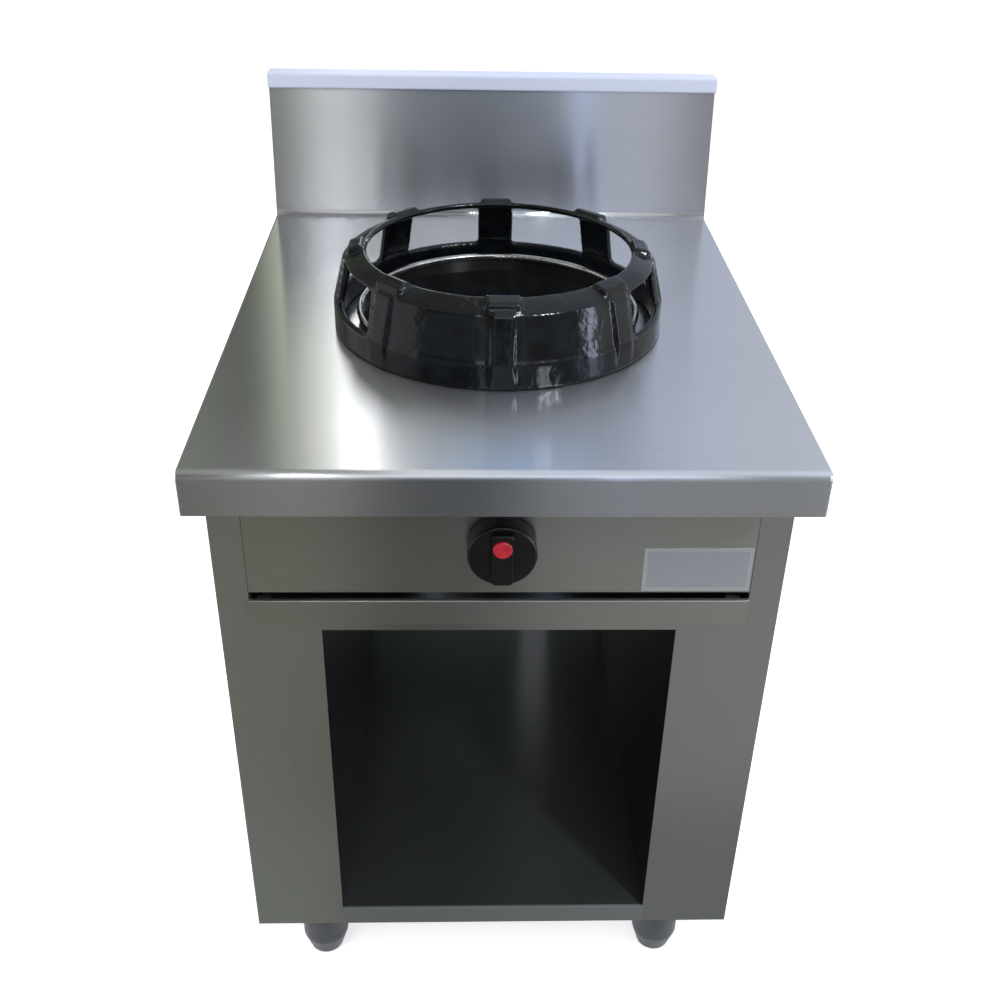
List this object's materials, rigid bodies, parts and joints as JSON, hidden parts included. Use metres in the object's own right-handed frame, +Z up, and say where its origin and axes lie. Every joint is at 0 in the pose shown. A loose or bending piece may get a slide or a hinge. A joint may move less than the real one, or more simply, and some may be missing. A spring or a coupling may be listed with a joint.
{
  "type": "wok range",
  "caption": "Free-standing gas wok range: steel worktop with a cast wok ring over one burner, backsplash, control knob, drip tray, open shelf and levelling feet.",
  "frame": {"origin": "on the floor, at the middle of the outline seen from above", "axes": "+X to the cook's right, +Y to the back wall, +Z up"},
  "size_m": [0.6, 0.75, 1.037],
  "materials": {
    "brushed_top_steel": "brushed stainless steel, satin, worn by use",
    "body_steel": "brushed stainless sheet, satin",
    "shelf_steel": "stainless sheet, dull inside the shelf and tray",
    "zinc_steel": "zinc-plated steel",
    "black_enamel": "black vitreous enamel on cast iron, glossy and uneven",
    "grey_cast_iron": "bare cast iron",
    "dark_enamel": "dark enamel, satin",
    "black_phenolic": "black phenolic, satin gloss",
    "red_marker": "red plastic, glossy",
    "blank_plate": "blank satin aluminium foil",
    "brass": "machined brass",
    "copper_tube": "bare copper tube",
    "spring_steel": "bright spring wire",
    "dark_leg": "dark blue-grey moulded plastic, satin"
  },
  "bodies": {
    "range_body": {"air_shutter": "zinc_steel", "back_panel": "body_steel", "back_panel_screws": "zinc_steel", "backsplash": "brushed_top_steel", "backsplash_cover": "body_steel", "bowl_screws": "zinc_steel", "burner_bowl": "dark_enamel", "burner_casting": "grey_cast_iron", "burner_feed_pipe": "copper_tube", "burner_support": "zinc_steel", "collar_ring": "brushed_top_steel", "control_panel": "body_steel", "cover_screws": "zinc_steel", "foot_plates": "zinc_steel", "front_left_leg": "dark_leg", "front_right_leg": "dark_leg", "front_stiffener": "zinc_steel", "gas_inlet_pipe": "zinc_steel", "gas_valve": "brass", "gland_nut": "brass", "injector": "brass", "injector_holder": "brass", "inlet_locknut": "zinc_steel", "left_base_rail": "zinc_steel", "left_front_upright": "body_steel", "left_shelf_liner": "shelf_steel", "left_side_panel": "body_steel", "left_tray_runner": "zinc_steel", "magnet_unit": "brass", "pilot_bracket": "zinc_steel", "pilot_burner": "brass", "pilot_tube": "copper_tube", "pipe_clamp": "zinc_steel", "rating_plate": "blank_plate", "rear_left_leg": "dark_leg", "rear_right_leg": "dark_leg", "rear_stiffener": "zinc_steel", "right_base_rail": "zinc_steel", "right_front_upright": "body_steel", "right_shelf_liner": "shelf_steel", "right_side_panel": "body_steel", "right_tray_runner": "zinc_steel", "shelf_ceiling": "shelf_steel", "shelf_floor": "shelf_steel", "thermocouple": "zinc_steel", "thermocouple_lead": "copper_tube", "valve_spring": "spring_steel", "worktop": "brushed_top_steel"},
    "drip_tray": {"drip_tray_pan": "shelf_steel", "drip_tray_front": "body_steel"},
    "wok_ring": {"wok_ring": "black_enamel"},
    "burner_cap": {"burner_cap": "grey_cast_iron"},
    "knob_push": {"push_sleeve": "zinc_steel"},
    "knob": {"knob": "black_phenolic", "knob_marker": "red_marker", "valve_spindle": "zinc_steel"},
    "front_left_foot": {"front_left_foot": "dark_leg"},
    "front_right_foot": {"front_right_foot": "dark_leg"},
    "rear_left_foot": {"rear_left_foot": "dark_leg"},
    "rear_right_foot": {"rear_right_foot": "dark_leg"}
  },
  "joints": [
    {"name": "drip_tray_slide", "type": "slide", "parent": "range_body", "child": "drip_tray", "axis": [0, -1, 0], "range_m": [0, 0.36]},
    {"name": "wok_ring_lift", "type": "slide", "parent": "range_body", "child": "wok_ring", "axis": [0, 0, 1], "range_m": [0, 0.15]},
    {"name": "burner_cap_lift", "type": "slide", "parent": "range_body", "child": "burner_cap", "axis": [0, 0, 1], "range_m": [0, 0.12]},
    {"name": "knob_push", "type": "slide", "parent": "range_body", "child": "knob_push", "axis": [0, 1, 0], "range_m": [0, 0.0035], "stiffness_N_per_m": 1500, "springref_m": -0.004, "deforming": ["valve_spring"]},
    {"name": "knob_turn", "type": "hinge", "parent": "knob_push", "child": "knob", "pos_m": [0, -0.3, 0.719], "axis": [0, -1, 0], "range_deg": [0, 180]},
    {"name": "front_left_foot_turn", "type": "hinge", "parent": "range_body", "child": "front_left_foot", "pos_m": [-0.226, -0.21, 0.05], "axis": [0, 0, 1], "continuous": true},
    {"name": "front_right_foot_turn", "type": "hinge", "parent": "range_body", "child": "front_right_foot", "pos_m": [0.226, -0.21, 0.05], "axis": [0, 0, 1], "continuous": true},
    {"name": "rear_left_foot_turn", "type": "hinge", "parent": "range_body", "child": "rear_left_foot", "pos_m": [-0.226, 0.255, 0.05], "axis": [0, 0, 1], "continuous": true},
    {"name": "rear_right_foot_turn", "type": "hinge", "parent": "range_body", "child": "rear_right_foot", "pos_m": [0.226, 0.255, 0.05], "axis": [0, 0, 1], "continuous": true}
  ]
}
